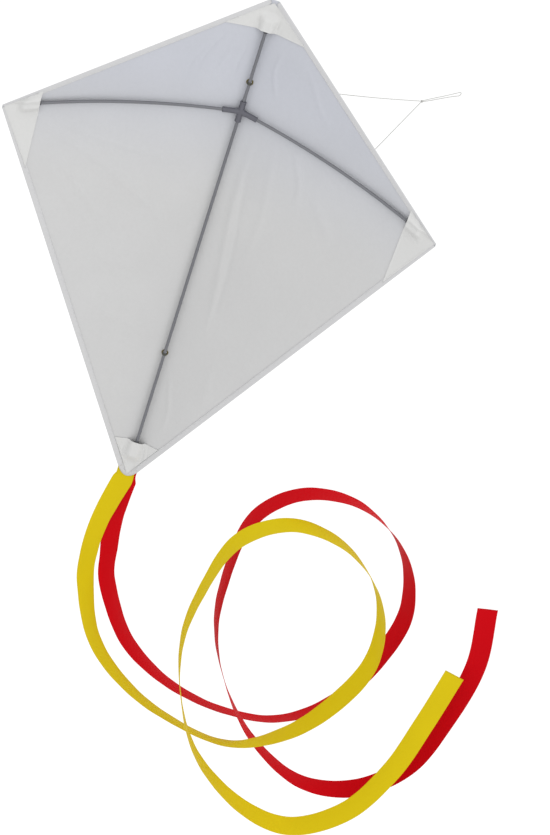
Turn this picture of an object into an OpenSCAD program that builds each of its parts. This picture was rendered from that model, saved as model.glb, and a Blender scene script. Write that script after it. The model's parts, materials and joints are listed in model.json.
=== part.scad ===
// Bowed diamond kite: one sail on a spine and two swept-back spars, with a two-leg
// bridle on the face side and two ribbon tails. Millimetres, +Z towards the nose,
// rods on the -Y side, bridle on the +Y side. The origin is the tip of the tow loop.

/* [Sail] */
// Length of the spine line, nose to tail
sail_length = 700; // [650:10:750]
// Height of the nose above the cross connector
nose_height = 150; // [140:1:160]
// Thickness of the sail cloth
cloth_thick = 0.4; // [0.3:0.1:0.5]
// Width of the folded hem
hem_width = 8; // [6:1:9]

/* [Frame] */
// Diameter of the spine and spar rods
rod_d = 4; // [3.5:0.1:4.2]
// Length of each spar line from the spine to the tip of the sail
spar_length = 300; // [290:1:310]
// Sweep of the spars where they leave the connector, in degrees
hub_sweep = 13; // [12:0.5:15]
// Sweep of the spars at the wing tips, in degrees
tip_sweep = 31; // [28:0.5:33]
// How far the plane of the spars leans down from square, in degrees
spar_lean = 25; // [22:1:28]
// Outer diameter of the connector's sleeves
sleeve_d = 8; // [7.6:0.1:8]

/* [Bridle] */
// Diameter of the bridle line
line_d = 1; // [0.8:0.1:1.2]
// How far the bridle hangs round towards the right wing, in degrees
bridle_turn = 55; // [45:1:65]

/* [Tails] */
// Width of each ribbon
ribbon_width = 28; // [25:1:30]
// Thickness of each ribbon
ribbon_thick = 0.5; // [0.4:0.1:0.5]

/* [Hidden] */

nose = [0, nose_height];
tail = [0, nose_height - sail_length];
rod_r = rod_d / 2;
rod_y = -4.8;                       // rods lie this far behind the face of the sail
cap_r = 2.6;
fit_gap = 0.05;                     // radial clearance of a rod in a sleeve or cap
layer_gap = 0.4;                    // clearance between layers of cloth

// ---- Line of the spars: one arc from the spine to the tip, in a plane that leans ----
bend_r = spar_length / ((tip_sweep - hub_sweep) * PI / 180);
tip_x = bend_r * (sin(tip_sweep) - sin(hub_sweep));
function sweep_at(x) = asin(sin(hub_sweep) + x / bend_r);
function spar_drop(x) = bend_r * (cos(hub_sweep) - cos(sweep_at(x)));
// Sweep, and place in the spar's own plane, at a length along the spar
function sweep_along(s) = mix(hub_sweep, tip_sweep, s / spar_length);
function arc_point(s) = bend_r * [sin(sweep_along(s)) - sin(hub_sweep),
    cos(sweep_along(s)) - cos(hub_sweep), 0];
function spar_y(x) = -spar_drop(x) * cos(spar_lean);
function spar_z(x) = -spar_drop(x) * sin(spar_lean);

// ---- Outline of the sail, as heights above the connector at a distance x out ----
nose_half = 6;                      // half the blunt end of the nose
tail_half = 14;                     // half the blunt end of the tail
tail_rise = 13;                     // how far the tail's rounded end rises at its sides
tip_cut = 1.5;                       // the wing tip is cut off this far short
wing_tip = [tip_x, spar_z(tip_x)];
function mix(a, b, t) = a + (b - a) * t;
function edge_top(x) = x < nose_half ? nose[1]
    : mix(nose[1], wing_tip[1], (x - nose_half) / (tip_x - nose_half));
function edge_low(x) = x < tail_half ? tail[1] + tail_rise * pow(x / tail_half, 2)
    : mix(tail[1] + tail_rise, wing_tip[1], (x - tail_half) / (tip_x - tail_half));

// ---- Face of the sail: straight edges, tented over the bowed spars ----
tent_power = 1.5;
spine_flat = 5;                     // half the flat strip over the spine
function off_flat(x) = max(0, x - spine_flat) * tip_x / (tip_x - spine_flat);
function chord_y(x) = spar_y(tip_x) * off_flat(x) / tip_x;
function edge_from(x, z) = z > spar_z(x) ? edge_top(x) : edge_low(x);
function across(x, z) = min(1, abs((z - spar_z(x)) / (edge_from(x, z) - spar_z(x))));
function face_at(x, z) = chord_y(x)
    + (spar_y(off_flat(x)) - chord_y(x)) * pow(1 - across(x, z), tent_power);
function face_y(x, z) = face_at(abs(x), z);

// ---- A closed skin between two grids of points, given as rows ----
function flat_list(rows) = [for (row = rows) for (p = row) p];
function quad_faces(n, m, at, flip) = [for (i = [0:n - 2], j = [0:m - 2])
    let (a = at + i * m + j, b = a + 1, c = a + m + 1, d = a + m)
    each flip ? [[a, c, b], [a, d, c]] : [[a, b, c], [a, c, d]]];
function rim(n, m) = concat([for (j = [0:m - 1]) j], [for (i = [1:n - 1]) i * m + m - 1],
    [for (j = [m - 2:-1:0]) (n - 1) * m + j], [for (i = [n - 2:-1:1]) i * m]);
module skin(front, back) {
    n = len(front);
    m = len(front[0]);
    edge = rim(n, m);
    k = len(edge);
    polyhedron(concat(flat_list(front), flat_list(back)),
        concat(quad_faces(n, m, 0, false), quad_faces(n, m, n * m, true),
            [for (i = [0:k - 1]) let (a = edge[i], b = edge[(i + 1) % k])
                each [[a, a + n * m, b + n * m], [a, b + n * m, b]]]));
}

// Cloth that follows the sail over rows of [x, z, lift], lift being how far it bulges back
module cloth(rows, depth) {
    skin([for (row = rows) [for (q = row) [q[0], face_y(q[0], q[1]) - depth - q[2], q[1]]]],
        [for (row = rows) [for (q = row)
            [q[0], face_y(q[0], q[1]) - depth - q[2] - cloth_thick, q[1]]]]);
}

module from_hub() {
    translate(-tow_tip) children();
}

// ---- Sail ----
half_columns = concat([0, spine_flat, nose_half, 10, tail_half],
    [for (x = [30:20:250]) x], [262, tip_x - tip_cut]);
columns = concat([for (i = [len(half_columns) - 1:-1:1]) -half_columns[i]], half_columns);
half_rows = [0, 0.2, 0.4, 0.6, 0.8, 0.9, 1];
levels = concat([for (i = [len(half_rows) - 1:-1:1]) -half_rows[i]], half_rows);
function level_z(x, v) = mix(spar_z(x), v < 0 ? edge_low(x) : edge_top(x), abs(v));
eyelet_z = [39, -355];
eyelet_hole = 2.9;
module sail() {
    color("whitesmoke") from_hub() difference() {
        cloth([for (x = columns) [for (v = levels) [x, level_z(abs(x), v), 0]]], 0);
        for (z = eyelet_z)
            translate([0, 2, z]) rotate([90, 0, 0]) cylinder(h = 5, r = eyelet_hole, $fn = 48);
    }
}

// ---- Hems: the edge folded once to the back ----
hem_steps = 14;
hem_trim = 0.04;
function hem_row(side, top, t) =
    let (x = mix(top ? nose_half : tail_half, tip_x, mix(hem_trim, 1 - hem_trim, t)),
        z = top ? edge_top(x) : edge_low(x),
        run = top ? wing_tip - [nose_half, nose[1]]
            : wing_tip - [tail_half, tail[1] + tail_rise],
        inward = (top ? [run[1], -run[0]] : [-run[1], run[0]]) / norm(run))
    [for (w = [0.3, hem_width / 2, hem_width])
        [side * (x + inward[0] * w), z + inward[1] * w, 0]];
module hem(side, top) {
    rows = [for (i = [0:hem_steps]) hem_row(side, top, i / hem_steps)];
    color("white") from_hub()
        cloth(side * (top ? 1 : -1) > 0 ? [for (i = [hem_steps:-1:0]) rows[i]] : rows,
            cloth_thick + layer_gap);
}
module hem_top_left() { hem(-1, true); }
module hem_top_right() { hem(1, true); }
module hem_bottom_left() { hem(-1, false); }
module hem_bottom_right() { hem(1, false); }

// ---- Pockets: triangular patches that hold the rod ends against the sail ----
pocket_inset = 10;                  // the patch stops short of the inner edge of the hem
bulge_half = 3.8;                   // half the flat top of the fold over the rod
bulge_reach = 13;                   // the fold dies out this far from the rod
bulge_lift = 8.2;
function unit(v) = v / norm(v);
function inset(c, e1, e2) = c + pocket_inset * (e1 + e2)
    / abs(e1[0] * e2[1] - e1[1] * e2[0]);
function swell(s) = s > 0.64 ? 1 : s < 0.36 ? 0 : (s - 0.36) / 0.28;
// The rod crosses the patch from r, level with the corner c, to m on the free edge
function bulge(p, d, gap) = let (e = min(bulge_reach, 0.9 * gap), f = min(bulge_half, 0.55 * e))
    [for (q = [[e, 0], [(e + f) / 2, 0.35], [f, 1]]) [p + d * q[0], q[1]]];
function pocket_row(c, a, b, r, m, s) =
    let (pa = mix(c, a, s), pb = mix(c, b, s), long = norm(pb - pa), d = (pb - pa) / long,
        at = (mix(r, m, s) - pa) * d, pm = pa + d * min(max(at, 0.12 * long), 0.88 * long),
        one = bulge(pm, -d, norm(pm - pa)), two = bulge(pm, d, norm(pb - pm)))
    [for (q = concat([[pa, 0]], one, [[pm, 1]], [two[2], two[1], two[0]], [[pb, 0]]))
        [q[0][0], q[0][1], bulge_lift * q[1] * swell(s)]];
module pocket(c, a, b, r, m) {
    color("white") from_hub()
        cloth([for (s = [0.15, 0.36, 0.5, 0.64, 0.76, 0.88, 1]) pocket_row(c, a, b, r, m, s)],
            cloth_thick + layer_gap);
}
top_edge = unit(nose - wing_tip);
low_edge = unit([0, tail[1]] - wing_tip);
end_leg = 62;
tip_legs = [44, 76];
module nose_pocket() {
    e = -top_edge;
    f = [-e[0], e[1]];
    c = inset(nose, e, f);
    b = c + e * end_leg;
    pocket(c, [-b[0], b[1]], b, c, [0, b[1]]);
}
module tail_pocket() {
    e = -low_edge;
    f = [-e[0], e[1]];
    c = inset(tail - [0, 8], e, f);
    b = c + e * end_leg;
    pocket(c, b, [-b[0], b[1]], c, [0, b[1]]);
}
module tip_pocket(side) {
    c = inset(wing_tip, top_edge, low_edge);
    a = c + top_edge * tip_legs[0];
    b = c + low_edge * tip_legs[1];
    m = mix(a, b, (a[1] - spar_z(a[0])) / (a[1] - b[1]));
    r = c + (a - b) * (spar_z(c[0]) - c[1]) / (a[1] - b[1]);
    function side_of(p) = [p[0] * side, p[1]];
    pocket(side_of(c), side_of(side > 0 ? a : b), side_of(side > 0 ? b : a), side_of(r),
        side_of(m));
}
module left_pocket() { tip_pocket(-1); }
module right_pocket() { tip_pocket(1); }

// ---- Rods ----
spine_top = nose_height - 36;
spine_low = tail[1] + 50;
spar_start = 7;
spar_end = spar_length - 44;
cap_length = 8;
cap_wall = 1.5;
module spine_rod() {
    color("dimgray") from_hub() translate([0, rod_y, spine_low])
        cylinder(h = spine_top - spine_low, r = rod_r, $fn = 48);
}
// Puts a child drawn in the plane of the right spar, +X outwards, onto either wing
module on_wing(side) {
    from_hub() mirror([side < 0 ? 1 : 0, 0, 0]) translate([0, rod_y, 0])
        rotate([spar_lean, 0, 0]) children();
}
// Puts a child drawn along +Z at a length along the spar, pointing outwards
module along(s) {
    translate(arc_point(s)) rotate([0, 0, -sweep_along(s)]) rotate([0, 90, 0]) children();
}
module spar(side) {
    color("dimgray") on_wing(side)
        translate(-bend_r * [sin(hub_sweep), cos(hub_sweep), 0])
            rotate([0, 0, 90 - sweep_along(spar_end)])
                rotate_extrude(angle = sweep_along(spar_end) - sweep_along(spar_start),
                    $fn = 720)
                    translate([bend_r, 0]) circle(r = rod_r, $fn = 48);
}
module left_spar() { spar(-1); }
module right_spar() { spar(1); }

// ---- Cross connector: a sleeve for the spine and a blind socket for each spar ----
sleeve_r = sleeve_d / 2;
sleeve_length = 28;
socket_length = 23;
// A socket is straight, so its axis touches the bent rod half way along the grip
socket_mid = (spar_start + socket_length) / 2;
module socket(side) {
    mirror([side < 0 ? 1 : 0, 0, 0]) rotate([spar_lean, 0, 0]) along(socket_mid)
        translate([0, 0, -socket_mid]) children();
}
module cross_connector() {
    color("slategray") from_hub() translate([0, rod_y, 0]) difference() {
        union() {
            translate([0, 0, -sleeve_length / 2])
                cylinder(h = sleeve_length, r = sleeve_r, $fn = 48);
            for (side = [-1, 1])
                socket(side) cylinder(h = socket_length, r = sleeve_r - 0.4, $fn = 48);
        }
        translate([0, 0, -sleeve_length]) cylinder(h = 2 * sleeve_length,
            r = rod_r + fit_gap, $fn = 48);
        for (side = [-1, 1])
            socket(side) translate([0, 0, spar_start - 0.5])
                cylinder(h = socket_length, r = rod_r + fit_gap, $fn = 48);
    }
}

// ---- End caps, hidden in the pockets ----
module cap() {
    difference() {
        union() {
            cylinder(h = cap_length - 1, r = cap_r, $fn = 48);
            cylinder(h = cap_length, r = cap_r - 1, $fn = 48);
        }
        translate([0, 0, -1]) cylinder(h = cap_length - cap_wall + 1, r = rod_r + fit_gap,
            $fn = 48);
    }
}
seat = cap_length - cap_wall - 0.1; // length of rod inside a cap
module nose_cap() {
    color("black") from_hub() translate([0, rod_y, spine_top - seat]) cap();
}
module tail_cap() {
    color("black") from_hub() translate([0, rod_y, spine_low + seat]) mirror([0, 0, 1]) cap();
}
module tip_cap(side) {
    color("black") on_wing(side) along(spar_end - seat / 2) translate([0, 0, -seat / 2]) cap();
}
module left_tip_cap() { tip_cap(-1); }
module right_tip_cap() { tip_cap(1); }

// ---- Eyelets: a barrel with a flange on the back, and a washer on the face ----
barrel_r = 2.8;
bore_r = 2.3;
flange_r = 4.6;
flange_thick = 0.6;
module ring_y(y, h, outer, inner) {
    translate([0, y, 0]) rotate([-90, 0, 0]) difference() {
        cylinder(h = h, r = outer, $fn = 48);
        translate([0, 0, -1]) cylinder(h = h + 2, r = inner, $fn = 48);
    }
}
module eyelet(z) {
    color("goldenrod") from_hub() translate([0, 0, z]) union() {
        ring_y(-cloth_thick - layer_gap - flange_thick, flange_thick, flange_r, bore_r);
        ring_y(-cloth_thick - layer_gap - flange_thick, 1.8, barrel_r, bore_r);
    }
}
module washer(z) {
    color("goldenrod") from_hub() translate([0, 0, z])
        ring_y(layer_gap, flange_thick / 2, flange_r, barrel_r + fit_gap);
}
module upper_eyelet() { eyelet(eyelet_z[0]); }
module lower_eyelet() { eyelet(eyelet_z[1]); }
module upper_washer() { washer(eyelet_z[0]); }
module lower_washer() { washer(eyelet_z[1]); }

// ---- Bridle ----
line_r = line_d / 2;
swing_y = 1.8;                      // the bridle swings about the line through the eyelets
swing_dir = [sin(bridle_turn), cos(bridle_turn), 0];
bridle_normal = [cos(bridle_turn), -sin(bridle_turn), 0];
function bridle_point(q) = [0, swing_y, 0] + q[0] * swing_dir + [0, 0, q[1]];
// Routes as [distance from the spine, height]
upper_route = [[0, 39], [65, 33.5], [130, 29], [200, 26], [265, 25]];
lower_route = [[0, -355], [68, -262], [136, -168], [202, -72], [265, 25]];
loop_route = [[265.6, 25.8], [280, 29.8], [300, 35], [314, 39], [320.5, 40.5], [322, 38],
    [319.5, 35.5], [313, 34.5], [300, 31.8], [280, 27.2], [265.6, 24.2]];
apex = bridle_point([265, 25]);
tow_tip = bridle_point([322, 38]);
function spline(p0, p1, p2, p3, t) = 0.5 * (2 * p1 + (p2 - p0) * t
    + (2 * p0 - 5 * p1 + 4 * p2 - p3) * t * t + (3 * p1 - p0 - 3 * p2 + p3) * t * t * t);
function smooth(p, k) = let (n = len(p)) concat(
    [for (i = [0:n - 2], j = [0:k - 1])
        spline(i > 0 ? p[i - 1] : 2 * p[0] - p[1], p[i], p[i + 1],
            i < n - 2 ? p[i + 2] : 2 * p[n - 1] - p[n - 2], j / k)],
    [p[n - 1]]);
function heading(p, i) = unit(p[min(i + 1, len(p) - 1)] - p[max(i - 1, 0)]);
// A closed solid through rings of points; opposite walls are split along one diagonal
module loft(rings) {
    n = len(rings);
    m = len(rings[0]);
    polyhedron([for (ring = rings) for (p = ring) p], concat(
        [[for (j = [m - 1:-1:0]) j], [for (j = [0:m - 1]) (n - 1) * m + j]],
        [for (i = [0:n - 2], j = [0:m - 1])
            let (a = i * m + j, b = i * m + (j + 1) % m)
            each j < m / 2 ? [[a, b, b + m], [a, b + m, a + m]]
                : [[a, b, a + m], [b, b + m, a + m]]]));
}
module line(route, k) {
    p = [for (q = smooth(route, k)) bridle_point(q)];
    color("white") from_hub() loft([for (i = [0:len(p) - 1])
        let (u = bridle_normal, w = cross(heading(p, i), bridle_normal))
        [for (a = [0:45:315]) p[i] + line_r * (cos(a) * u + sin(a) * w)]]);
}
module bridle_upper_leg() { line(upper_route, 5); }
module bridle_lower_leg() { line(lower_route, 7); }
module tow_loop() { line(loop_route, 3); }
module coil_ring(r) {
    rotate_extrude($fn = 48) translate([r, 0]) circle(r = line_r, $fn = 24);
}
module bridle_knot() {
    color("white") from_hub() translate(apex) rotate([0, 0, 90 - bridle_turn]) union() {
        for (shift = [-0.9, 0.9])
            translate([shift, 0, 0]) rotate([0, 90, 0]) coil_ring(1.1);
        rotate([20, 0, 0]) coil_ring(1.3);
        sphere(r = 1.1, $fn = 32);
    }
}
module spine_knot(z) {
    color("white") from_hub() translate([0, rod_y, z]) union() {
        for (turn = [-1.05, 0, 1.05])
            translate([0, 0, turn]) coil_ring(rod_r + line_r + fit_gap);
        translate([0, rod_r + 0.9, 0]) sphere(r = 0.8, $fn = 32);
        translate([0, rod_r + 0.5, 0]) rotate([-90, 0, 0])
            cylinder(h = 0.9 - rod_y - rod_r - 0.5, r = line_r, $fn = 24);
    }
}
module upper_spine_knot() { spine_knot(eyelet_z[0]); }
module lower_spine_knot() { spine_knot(eyelet_z[1]); }

// ---- Tails: ribbons sewn under the tail corner, free below the hinge line ----
tab_height = 24;
tab_y = [0.15, 0.8];
tab_width = [24, 21];
tab_x = [-2, 2];
module tab(i) {
    translate([tab_x[i] - tab_width[i] / 2, tab_y[i], tail[1] + 2])
        cube([tab_width[i], ribbon_thick, tab_height]);
}
module yellow_tail_end() { color("gold") from_hub() tab(0); }
module red_tail_end() { color("crimson") from_hub() tab(1); }
module tail_bar_tack() {
    color("white") from_hub() for (i = [-3:3])
        translate([i * 1.4, -cloth_thick - layer_gap - 0.3, tail[1] + 9])
            rotate([0, 60, 0]) cylinder(h = 2.6, r = 0.25, center = true, $fn = 24);
}
// Routes as [x, y, z, turn]: the turn is how far the ribbon's width leans out of the
// plane of the kite, in degrees
yellow_route = [[-2, 0.4, -552, 0], [-7.3, 0.3, -577, 9], [-12.6, 0.1, -604, 18],
    [-16.8, 0, -635, 28], [-17.6, 0, -680, 37], [-10, 0, -730, 45],
    [25, 0, -815, 70], [90, 0, -875, 90], [170, -5, -905, 105], [250, -15, -905, 105],
    [320, -20, -855, 75], [370, -20, -780, 50], [395, -20, -695, 50],
    [375, -20, -605, 65], [315, -20, -545, 80], [235, -25, -530, 100],
    [170, -30, -575, 115], [145, -35, -660, 110], [140, -40, -750, 105],
    [165, -45, -840, 100], [210, -45, -920, 95], [285, -40, -980, 80],
    [365, -30, -1000, 60], [435, -25, -950, 40], [475, -15, -870, 25],
    [495, -5, -785, 10], [510, 0, -695, 5]];
red_route = [[2, 1.05, -552, 0], [0.8, 2.8, -577, 9], [0.4, 7.5, -604, 18],
    [1.6, 13, -635, 28], [7.5, 18, -680, 38], [20, 20, -735, 50],
    [70, 35, -825, 70], [145, 45, -880, 95], [230, 50, -900, 105], [310, 50, -885, 100],
    [375, 45, -820, 75], [410, 40, -730, 50], [420, 30, -635, 45],
    [385, 20, -545, 60], [315, 15, -495, 80], [235, 10, -500, 100],
    [180, 10, -560, 115], [170, 10, -650, 115], [180, 10, -745, 110],
    [220, 15, -835, 105], [280, 20, -910, 95], [360, 20, -955, 85],
    [440, 20, -940, 60], [500, 20, -875, 40], [525, 20, -780, 25],
    [535, 15, -680, 10], [520, 10, -585, -5]];
function place(q) = [q[0], q[1], q[2]];
function ribbon_ring(p, i, turn) =
    let (t = heading(p, i), flat = unit(cross(t, [0, 1, 0])), deep = unit([0, 1, 0] - t[1] * t),
        u = (cos(turn) * flat + sin(turn) * deep) * ribbon_width / 2,
        w = unit(cross(t, u)) * ribbon_thick / 2)
    [p[i] - u - w, p[i] + u - w, p[i] + u + w, p[i] - u + w];
module ribbon(route) {
    rows = smooth(route, 3);
    p = [for (q = rows) place(q)];
    from_hub() loft([for (i = [0:len(p) - 1]) ribbon_ring(p, i, rows[i][3])]);
}
module yellow_tail() { color("gold") ribbon(yellow_route); }
module red_tail() { color("crimson") ribbon(red_route); }

sail();
hem_top_left();
hem_top_right();
hem_bottom_left();
hem_bottom_right();
nose_pocket();
tail_pocket();
left_pocket();
right_pocket();
spine_rod();
left_spar();
right_spar();
cross_connector();
nose_cap();
tail_cap();
left_tip_cap();
right_tip_cap();
upper_eyelet();
lower_eyelet();
upper_washer();
lower_washer();
upper_spine_knot();
lower_spine_knot();
bridle_upper_leg();
bridle_lower_leg();
bridle_knot();
tow_loop();
yellow_tail_end();
red_tail_end();
tail_bar_tack();
yellow_tail();
red_tail();
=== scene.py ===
"""Blank white bowed diamond kite with a line bridle and two windblown ribbon tails.

Metres, +Z towards the nose, rods on the -Y side, bridle on the +Y side, origin at the
tip of the tow loop.
"""
import json
import math

import bpy
import numpy as np
from mathutils import Matrix

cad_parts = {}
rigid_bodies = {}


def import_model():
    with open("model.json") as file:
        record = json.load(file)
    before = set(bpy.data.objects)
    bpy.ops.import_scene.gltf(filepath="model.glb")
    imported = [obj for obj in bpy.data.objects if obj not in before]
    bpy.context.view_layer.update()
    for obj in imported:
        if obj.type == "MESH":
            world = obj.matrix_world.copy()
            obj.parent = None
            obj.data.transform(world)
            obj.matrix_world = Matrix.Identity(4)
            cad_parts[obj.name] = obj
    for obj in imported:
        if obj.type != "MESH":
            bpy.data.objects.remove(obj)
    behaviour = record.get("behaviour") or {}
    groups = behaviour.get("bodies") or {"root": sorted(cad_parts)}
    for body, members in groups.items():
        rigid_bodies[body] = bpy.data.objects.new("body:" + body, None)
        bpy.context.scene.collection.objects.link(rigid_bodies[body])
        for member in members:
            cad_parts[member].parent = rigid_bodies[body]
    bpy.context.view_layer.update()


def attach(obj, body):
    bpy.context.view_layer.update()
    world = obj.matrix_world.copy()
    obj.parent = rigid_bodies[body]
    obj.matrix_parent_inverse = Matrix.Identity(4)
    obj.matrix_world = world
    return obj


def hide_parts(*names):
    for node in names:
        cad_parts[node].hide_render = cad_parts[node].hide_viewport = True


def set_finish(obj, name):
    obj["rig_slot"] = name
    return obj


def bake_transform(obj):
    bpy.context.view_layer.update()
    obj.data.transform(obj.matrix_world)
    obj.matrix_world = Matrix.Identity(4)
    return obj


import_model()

# ---------------------------------------------------------------------------------------
# Where the kite stands in the frame. The hub point is on the face of the sail, where the
# spine line crosses the line of the spars, and every place below is measured from it.
# ---------------------------------------------------------------------------------------
BRIDLE_TURN = math.radians(55)
SWING_Y = 0.0018
TOW_REACH, TOW_HEIGHT = 0.322, 0.038
outward = np.array([math.sin(BRIDLE_TURN), math.cos(BRIDLE_TURN), 0.0])
HUB = -(np.array([0.0, SWING_Y, TOW_HEIGHT]) + TOW_REACH * outward)

# ---------------------------------------------------------------------------------------
# Camera: behind the kite on the rods' side, a little above square to the spine, and
# rolled so that the nose leans to the right.
# ---------------------------------------------------------------------------------------
AZIMUTH, ELEVATION, ROLL = math.radians(-2.6), math.radians(28.5), math.radians(18.9)
DISTANCE, LENS = 3.5, 115.2
target = HUB + np.array([0.163, 0.0, -0.3977])
backward = np.array([math.sin(AZIMUTH) * math.cos(ELEVATION),
                     -math.cos(AZIMUTH) * math.cos(ELEVATION), math.sin(ELEVATION)])
right = np.cross(-backward, [0.0, 0.0, 1.0])
right /= np.linalg.norm(right)
above = np.cross(right, -backward)
cam_x = math.cos(ROLL) * right + math.sin(ROLL) * above
cam_y = -math.sin(ROLL) * right + math.cos(ROLL) * above
camera = bpy.data.objects.new("camera", bpy.data.cameras.new("camera"))
bpy.context.collection.objects.link(camera)
camera.data.lens = LENS
camera.data.clip_end = 100.0
turn = np.eye(4)
turn[:3, 0], turn[:3, 1], turn[:3, 2] = cam_x, cam_y, backward
turn[:3, 3] = target + DISTANCE * backward
camera.matrix_world = Matrix(turn.tolist())
bpy.context.scene.camera = camera

# ---------------------------------------------------------------------------------------
# Bridle: one length of twisted white line, tied round the spine through both eyelets and
# knotted into a tow loop. It lies in one plane that swings about the line of the eyelets.
# ---------------------------------------------------------------------------------------
LINE_D = 0.001
UPPER_ROUTE = [(0, 0.039), (0.065, 0.0335), (0.130, 0.029), (0.200, 0.026), (0.265, 0.025)]
LOWER_ROUTE = [(0, -0.355), (0.068, -0.262), (0.136, -0.168), (0.202, -0.072),
               (0.265, 0.025)]
LOOP_ROUTE = [(0.2656, 0.0258), (0.280, 0.0298), (0.300, 0.035), (0.314, 0.039),
              (0.3205, 0.0405), (0.322, 0.038), (0.3195, 0.0355), (0.313, 0.0345),
              (0.300, 0.0318), (0.280, 0.0272), (0.2656, 0.0242)]


def spline(points, steps):
    """Catmull-Rom curve through the rows of points, with straight run-outs at both ends:
    half of 2b + (c - a)t + (2a - 5b + 4c - d)t^2 + (3b - a - 3c + d)t^3 on each stretch."""
    p = np.asarray(points, float)
    p = np.vstack([2 * p[0] - p[1], p, 2 * p[-1] - p[-2]])
    t = (np.arange(steps) / steps)[None, :, None]
    a, b, c, d = (p[i:len(p) - 3 + i, None, :] for i in range(4))
    run = 0.5 * (2 * b + (c - a) * t + (2 * a - 5 * b + 4 * c - d) * t ** 2
                 + (3 * b - a - 3 * c + d) * t ** 3)
    return np.vstack([run.reshape(-1, p.shape[1]), p[-2]])


def unit(v):
    """The rows of v at length one."""
    return v / np.linalg.norm(v, axis=-1, keepdims=True)


def lengths(path):
    """Distance along the path at each of its points."""
    return np.concatenate([[0], np.cumsum(np.linalg.norm(np.diff(path, axis=0), axis=1))])


def even(path, spacing):
    """The path again, at equal spacing along it."""
    s = lengths(path)
    n = max(2, int(round(s[-1] / spacing)) + 1)
    at = np.linspace(0, s[-1], n)
    return np.stack([np.interp(at, s, path[:, k]) for k in range(path.shape[1])], 1)


def mesh_piece(name, points, faces, body, smooth=True):
    """A new piece from corner points and faces, riding on a body."""
    mesh = bpy.data.meshes.new(name)
    mesh.from_pydata(points.reshape(-1, 3).tolist(), [], faces.tolist()
                     if isinstance(faces, np.ndarray) else faces)
    mesh.update()
    if smooth:
        mesh.polygons.foreach_set("use_smooth", np.ones(len(mesh.polygons), bool))
    piece = bpy.data.objects.new(name, mesh)
    bpy.context.collection.objects.link(piece)
    if body:
        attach(piece, body)
    return piece


def grid_faces(n, m, wrap=False, start=0):
    """Quads of an n by m grid of points, rows first; wrap joins each row's ends."""
    i, j = np.meshgrid(np.arange(n - 1), np.arange(m if wrap else m - 1), indexing="ij")
    k = (j + 1) % m
    quads = np.stack([i * m + j, i * m + k, (i + 1) * m + k, (i + 1) * m + j], -1)
    return quads.reshape(-1, 4) + start


def around(a, u, v):
    """Directions at angles a, turning from u towards v: cos a u + sin a v."""
    return np.cos(a)[:, None] * u + np.sin(a)[:, None] * v


def skin_faces(n, m):
    """Faces of a closed skin: an n by m grid, the same grid behind it and the wall round
    their rim."""
    count = n * m
    rim = np.concatenate([np.arange(m), np.arange(1, n) * m + m - 1,
                          (n - 1) * m + np.arange(m - 2, -1, -1),
                          np.arange(n - 2, 0, -1) * m])
    after = np.roll(rim, -1)
    return np.concatenate([grid_faces(n, m), grid_faces(n, m, start=count)[:, ::-1],
                           np.stack([rim, rim + count, after + count, after], 1)])


def twisted_tube(path, radius, lobes=3, pitch=0.0035, sides=12, normal=None):
    """Points and faces of a laid line: a tube whose radius is r(1 + 0.1 cos(lobes(a - t))),
    t turning once every pitch along the path, with closed round ends."""
    s = lengths(path)
    t = unit(np.gradient(path, axis=0))
    ref = np.array([0.0, 0.0, 1.0]) if normal is None else np.asarray(normal, float)
    u = unit(np.cross(np.broadcast_to(ref, t.shape), t))
    v = np.cross(t, u)
    a = np.arange(sides) * 2 * math.pi / sides
    twist = 2 * math.pi * s / pitch
    r = radius * (1 + 0.1 * np.cos(lobes * (a[None] - twist[:, None]))) / 1.02
    ends = np.minimum(1, np.sqrt(np.clip(np.minimum(s, s[-1] - s) / radius, 0.02, 1)))
    r = r * ends[:, None]
    ring = path[:, None] + r[..., None] * around(a, u[:, None], v[:, None])
    faces = grid_faces(len(path), sides, wrap=True).tolist()
    faces.append(list(range(sides))[::-1])
    faces.append([(len(path) - 1) * sides + k for k in range(sides)])
    return ring, faces


def bridle_path(route, spacing):
    """Route rows are (distance out from the eyelets' line, height above the hub)."""
    q = even(spline(route, 24), spacing)
    path = HUB + np.array([0, SWING_Y, 0]) + q[:, :1] * outward
    path[:, 2] += q[:, 1]
    return path


across_bridle = np.array([math.cos(BRIDLE_TURN), -math.sin(BRIDLE_TURN), 0.0])


def bridle_line(name, node, route):
    """A leg or the loop of the bridle, laid as a line along its route."""
    path = bridle_path(route, 0.0005)
    ring, faces = twisted_tube(path, LINE_D / 2, normal=across_bridle)
    piece = mesh_piece(name, ring, faces, "bridle")
    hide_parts(node)
    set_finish(piece, "line")


bridle_line("upper_bridle_line", "bridle_upper_leg", UPPER_ROUTE)
bridle_line("lower_bridle_line", "bridle_lower_leg", LOWER_ROUTE)
bridle_line("tow_loop_line", "tow_loop", LOOP_ROUTE)

# The legs and the loop are joined in one overhand knot, its turns hauled down tight.
KNOT_AT = HUB + np.array([0, SWING_Y, 0]) + 0.265 * outward + np.array([0, 0, 0.025])
a = np.linspace(0, 2 * math.pi, 181)[:-1]
trefoil = np.stack([0.50 * (np.sin(a) + 2 * np.sin(2 * a)),
                    0.50 * (np.cos(a) - 2 * np.cos(2 * a)), -1.0 * np.sin(3 * a)], 1) * 0.001
knot_axes = np.stack([across_bridle, [0.0, 0.0, 1.0], outward])
trefoil = KNOT_AT + trefoil[:, [1, 0, 2]] @ knot_axes
ring, faces = twisted_tube(np.vstack([trefoil, trefoil[:1]]), LINE_D / 2,
                           normal=outward + 0.01)
bridle_knot_tube = mesh_piece("bridle_knot_turns", ring, faces, "bridle")
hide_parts("bridle_knot")
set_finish(bridle_knot_tube, "line")

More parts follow.
